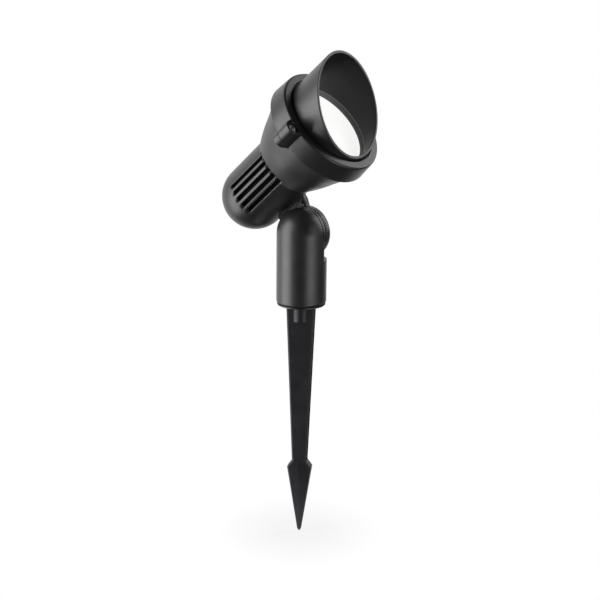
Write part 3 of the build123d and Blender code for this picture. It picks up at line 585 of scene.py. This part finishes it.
slant = draw("slant", [(x, -SLANT_REACH, z) for x, z in slant_corners])
bpy.ops.mesh.select_all(action="SELECT")
bpy.ops.mesh.remove_doubles(threshold=WELD)
bpy.ops.mesh.edge_face_add()
bpy.ops.mesh.extrude_region_move(TRANSFORM_OT_translate={"value": (0, 2 * SLANT_REACH * MM, 0)})
close_up()
combine(hood, slant, "DIFFERENCE")


def round_rim(piece, way, width, segments):
    """Round off the border of the faces that point the given way."""
    bpy.ops.object.mode_set(mode="EDIT")
    bpy.ops.mesh.select_mode(type="FACE")
    bpy.ops.mesh.select_all(action="DESELECT")
    bpy.ops.object.mode_set(mode="OBJECT")
    for face in piece.data.polygons:
        face.select = face.normal.dot(way) > 0.999
    bpy.ops.object.mode_set(mode="EDIT")
    bpy.ops.mesh.region_to_loop()
    bpy.ops.mesh.bevel(offset=width * MM, segments=segments)
    bpy.ops.object.mode_set(mode="OBJECT")


round_rim(hood, Vector((slant_rise, 0, -slant_run)).normalized(), HOOD_RIM_ROUND, 3)
visor_inside_painted_shade = grained(
    "visor_inside_painted_shade", (0.007, 0.007, 0.007), (0.010, 0.010, 0.010), (0.40, 0.50), 1.3, 0.28, 0.6, 0.03)
visor_inside_painted_shade.node_tree.nodes["Principled BSDF"].inputs["Specular IOR Level"].default_value = 0.3
set_finishes(hood.data, powder_coat, visor_inside_painted_shade)
# Faces that point in to the axis get the darker, duller painted shade.
for face in hood.data.polygons:
    outward = Vector((0, face.center.y, face.center.z)).normalized()
    face.material_index = 1 if face.normal.dot(outward) < -0.9 else 0
finish_in_head(hood)
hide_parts("hood")

# Ring: a die-cast retaining ring, powder coated, that clamps the hood, the seal and
# the lens on the housing. The lug on each side takes a screw, sunk in a wider bore,
# and a notch on each side of the rear edge lets the ring be pried off.
RING_ROUND = 1.9
RING_FRONT_X = 81.2
RING_FRONT_R = 44.8
LUG_FRONT_X = 81.5
LUG_ROUND = 0.8
GAP_W = 7.4
HEAD_SEAT_X = 77.9
NOTCH_TURN = 105.5
ring_outline = [(64.6, 42.6), (64.6, 45.3), (64.8, 45.7), (65.2, 45.9), (70.0, 45.52), (75.0, 45.13)]
ring_outline.append((RING_FRONT_X - RING_ROUND, RING_FRONT_R))
ring_outline += arc(RING_FRONT_X - RING_ROUND, RING_FRONT_R - RING_ROUND, RING_ROUND, 80, 0, 8)
ring_outline += [(RING_FRONT_X, 38.7), (80.9, 38.3), (80.4, 38.2), (78.5, 38.2), (78.5, 42.6)]
ring = turned("clamp_ring", ring_outline, steps=160)
for side in (-1, 1):
    lug = prism("lug", LUG_SPLIT_X + 0.3, LUG_FRONT_X, lug_outline(side, 43.3))
    round_rim(lug, Vector((1, 0, 0)), LUG_ROUND, 4)
    gap = [(side * 40.0, GAP_W), (side * 54.0, GAP_W), (side * 54.0, -GAP_W), (side * 40.0, -GAP_W)]
    combine(ring, prism("gap", 63.0, LUG_SPLIT_X + 0.1, gap), "DIFFERENCE")
    combine(ring, lug, "UNION")
    bore = [(69.0, 0.0), (69.0, 1.9), (HEAD_SEAT_X, 1.9), (HEAD_SEAT_X, 4.4), (80.9, 4.4), (83.0, 5.3), (83.0, 0.0)]
    combine(ring, turned("bore", bore, closed=False, steps=48, y=side * LUG_Y), "DIFFERENCE")
    notch = prism("notch", 63.0, 65.9, [(-2.0, 44.6), (2.0, 44.6), (2.0, 47.5), (-2.0, 47.5)])
    turn_about_axis(notch, -side * NOTCH_TURN)
    combine(ring, notch, "DIFFERENCE")
finish_in_head(ring, powder_coat)
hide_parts("front_ring")

# Ring screws: two steel pan-head screws with a tapered cross recess, sunk in the
# lugs. The heads are given a pale, hardly metallic colour as a painted reflection of bright steel,
# and the recess a black painted shade; both were chosen for the look and aren't true steel.
SHANK_R = 1.75
CROWN_R = 3.55
CROWN_X = 79.0
CROWN_RISE = 1.3
RECESS_X = 78.7
RECESS_TURN = radians(20)
RECESS_FLOOR_X = 78.5
RECESS_R = 2.4
NEAR_CROWN_RISE = 1.25
screw_outline = [(65.2, 0.0), (65.2, 1.5), (65.5, SHANK_R), (78.0, SHANK_R), (78.0, 3.4), (78.2, CROWN_R)]
screw_outline += [
    (CROWN_X + CROWN_RISE * sin(radians(a)), CROWN_R * cos(radians(a))) for a in range(0, 91, 15)
]
slim, reach = 0.55, 2.3
cross = [(slim, slim), (reach, slim), (reach, -slim), (slim, -slim), (slim, -reach), (-slim, -reach)]
cross += [(-slim, -slim), (-reach, -slim), (-reach, slim), (-slim, slim), (-slim, reach), (slim, reach)]
cross = [
    (y * cos(RECESS_TURN) - z * sin(RECESS_TURN), y * sin(RECESS_TURN) + z * cos(RECESS_TURN)) for y, z in cross
]
screws = []
for side in (-1, 1):
    screw = turned("ring_screw", screw_outline, closed=False, steps=64, y=side * LUG_Y)
    placed = [(y + side * LUG_Y, z) for y, z in cross]
    recess = prism("recess", 81.0, RECESS_X, placed, taper=0.45, middle=(RECESS_X, side * LUG_Y, 0))
    combine(screw, recess, "DIFFERENCE")
    screws.append(screw)
pick_only(screws[0])
screws[1].select_set(True)
bpy.ops.object.join()
painted_reflection_pale = grained(
    "painted_reflection_pale", (0.86, 0.86, 0.85), (0.92, 0.92, 0.91), (0.35, 0.45), 1.0, 0.3, 0.4, 0.01, metallic=0.15)
set_finishes(screws[0].data, painted_reflection_pale, painted_shade)
# The recess gets the black painted shade; the rest of the head keeps its pale painted reflection.
for face in screws[0].data.polygons:
    off_axis = sqrt((abs(face.center.y) - LUG_Y * MM) ** 2 + face.center.z ** 2)
    drop = sqrt(max(0.0, 1 - (off_axis / (CROWN_R * MM)) ** 2))
    on_head = face.center.x > (CROWN_X + NEAR_CROWN_RISE * drop) * MM
    near_middle = face.center.x > RECESS_FLOOR_X * MM and off_axis < RECESS_R * MM
    in_recess = near_middle and (not on_head or face.normal.x < 0.3)
    face.material_index = 1 if in_recess else 0
finish_in_head(screws[0])
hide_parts("ring_screws")

# Studio: a white backdrop, and a small pale floor that fades out. A tall soft box
# stands on the left, a weak one on the right, a small one low in front on the right,
# and a narrow one behind on the right, above the object.
FLOOR_R = 0.07
FLOOR_DROP = 0.0003
FLOOR_FADE = (0.02, 0.068)
LAMP_AIM = Vector((0, 0, 0.06))
SPIKE_TIP_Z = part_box("ground_spike")[0].z
bpy.ops.mesh.primitive_circle_add(
    vertices=96, radius=FLOOR_R, fill_type="NGON", location=(0, 0, SPIKE_TIP_Z - FLOOR_DROP))
floor = bpy.context.object
floor.name = "floor"
bpy.ops.object.transform_apply(location=True, rotation=True, scale=True)
floor_white, tree, shader = new_material("floor_white")
output = tree.nodes["Material Output"]
tree.nodes.remove(shader)
paper = tree.nodes.new("ShaderNodeBsdfDiffuse")
paper.inputs["Color"].default_value = (0.85, 0.85, 0.85, 1)
glow = tree.nodes.new("ShaderNodeEmission")
path = tree.nodes.new("ShaderNodeLightPath")


def add_max(tree, *values):
    """The largest of some values."""
    result = values[0]
    for value in values[1:]:
        node = tree.nodes.new("ShaderNodeMath")
        node.operation = "MAXIMUM"
        tree.links.new(result, node.inputs[0])
        tree.links.new(value, node.inputs[1])
        result = node.outputs[0]
    return result


seen = add_max(tree, *(path.outputs[label] for label in ("Is Camera Ray", "Is Glossy Ray", "Is Transmission Ray")))
blend = tree.nodes.new("ShaderNodeMixShader")
tree.links.new(add_range(tree, seen, 0, 1, 0.0, 0.85), blend.inputs[0])
tree.links.new(paper.outputs[0], blend.inputs[1])
tree.links.new(glow.outputs[0], blend.inputs[2])
place = tree.nodes.new("ShaderNodeTexCoord")
length = tree.nodes.new("ShaderNodeVectorMath")
length.operation = "LENGTH"
flat = tree.nodes.new("ShaderNodeVectorMath")
flat.operation = "MULTIPLY"
flat.inputs[1].default_value = (1, 1, 0)
tree.links.new(place.outputs["Object"], flat.inputs[0])
tree.links.new(flat.outputs["Vector"], length.inputs[0])
fade = add_range(tree, length.outputs["Value"], *FLOOR_FADE, 0.0, 1.0)
clear = tree.nodes.new("ShaderNodeBsdfTransparent")
edge_blend = tree.nodes.new("ShaderNodeMixShader")
tree.links.new(fade, edge_blend.inputs[0])
tree.links.new(blend.outputs[0], edge_blend.inputs[1])
tree.links.new(clear.outputs[0], edge_blend.inputs[2])
tree.links.new(edge_blend.outputs[0], output.inputs["Surface"])
floor.data.materials.append(floor_white)

world = bpy.data.worlds.new("studio")
bpy.context.scene.world = world
world.use_nodes = True
tree = world.node_tree
background = tree.nodes["Background"]
direction = tree.nodes.new("ShaderNodeTexCoord").outputs["Generated"]


def facing(tree, direction, way):
    """How far a direction points the given way, from -1 to 1."""
    node = tree.nodes.new("ShaderNodeVectorMath")
    node.operation = "DOT_PRODUCT"
    node.inputs[1].default_value = way.normalized()
    tree.links.new(direction, node.inputs[0])
    return node.outputs["Value"]


backdrop_way = -toward_camera - 0.25 * level_right + Vector((0, 0, 0.15))
backdrop = add_range(tree, facing(tree, direction, backdrop_way), 0.35, 0.8, 0, 1)
above_floor = add_range(tree, facing(tree, direction, Vector((0, 0, 1))), -0.92, -0.7, 0.0, 1.0)
lit = tree.nodes.new("ShaderNodeMath")
lit.operation = "MULTIPLY"
tree.links.new(backdrop, lit.inputs[0])
tree.links.new(above_floor, lit.inputs[1])
studio_colour = add_mix(tree, lit.outputs[0], (0.022, 0.0225, 0.023), (1.0, 1.0, 1.0))
path = tree.nodes.new("ShaderNodeLightPath")
seen = add_max(tree, path.outputs["Is Camera Ray"], path.outputs["Is Transmission Ray"])
tree.links.new(add_mix(tree, seen, studio_colour, (1.0, 1.0, 1.0)), background.inputs["Color"])
background.inputs["Strength"].default_value = 1.0


def soft_box(name, turn, rise, distance, width, height, radiance):
    """Rectangular lamp, turn degrees round from the camera towards the left of the picture."""
    angle = radians(turn)
    level_back = Vector((toward_camera.x, toward_camera.y, 0)).normalized()
    way = (cos(angle) * level_back - sin(angle) * level_right) * cos(radians(rise))
    way += Vector((0, 0, sin(radians(rise))))
    bpy.ops.object.light_add(type="AREA")
    lamp = bpy.context.object
    lamp.name = name
    lamp.data.shape = "RECTANGLE"
    lamp.data.size, lamp.data.size_y = width, height
    lamp.data.energy = radiance * pi * width * height
    lamp.location = LAMP_AIM + way * distance
    lamp.rotation_euler = (LAMP_AIM - lamp.location).to_track_quat("-Z", "Y").to_euler()
    lamp.visible_camera = False


soft_box("key_soft_box", 76, 0, 1.3, 1.1, 2.4, 3.3)
soft_box("fill_soft_box", -60, 4, 1.3, 0.9, 1.5, 0.6)
soft_box("top_soft_box", -115, 27, 1.2, 0.55, 1.2, 2.5)
soft_box("front_soft_box", -40, -22, 1.3, 0.7, 0.7, 1.8)
bpy.context.scene.view_settings.view_transform = "Standard"
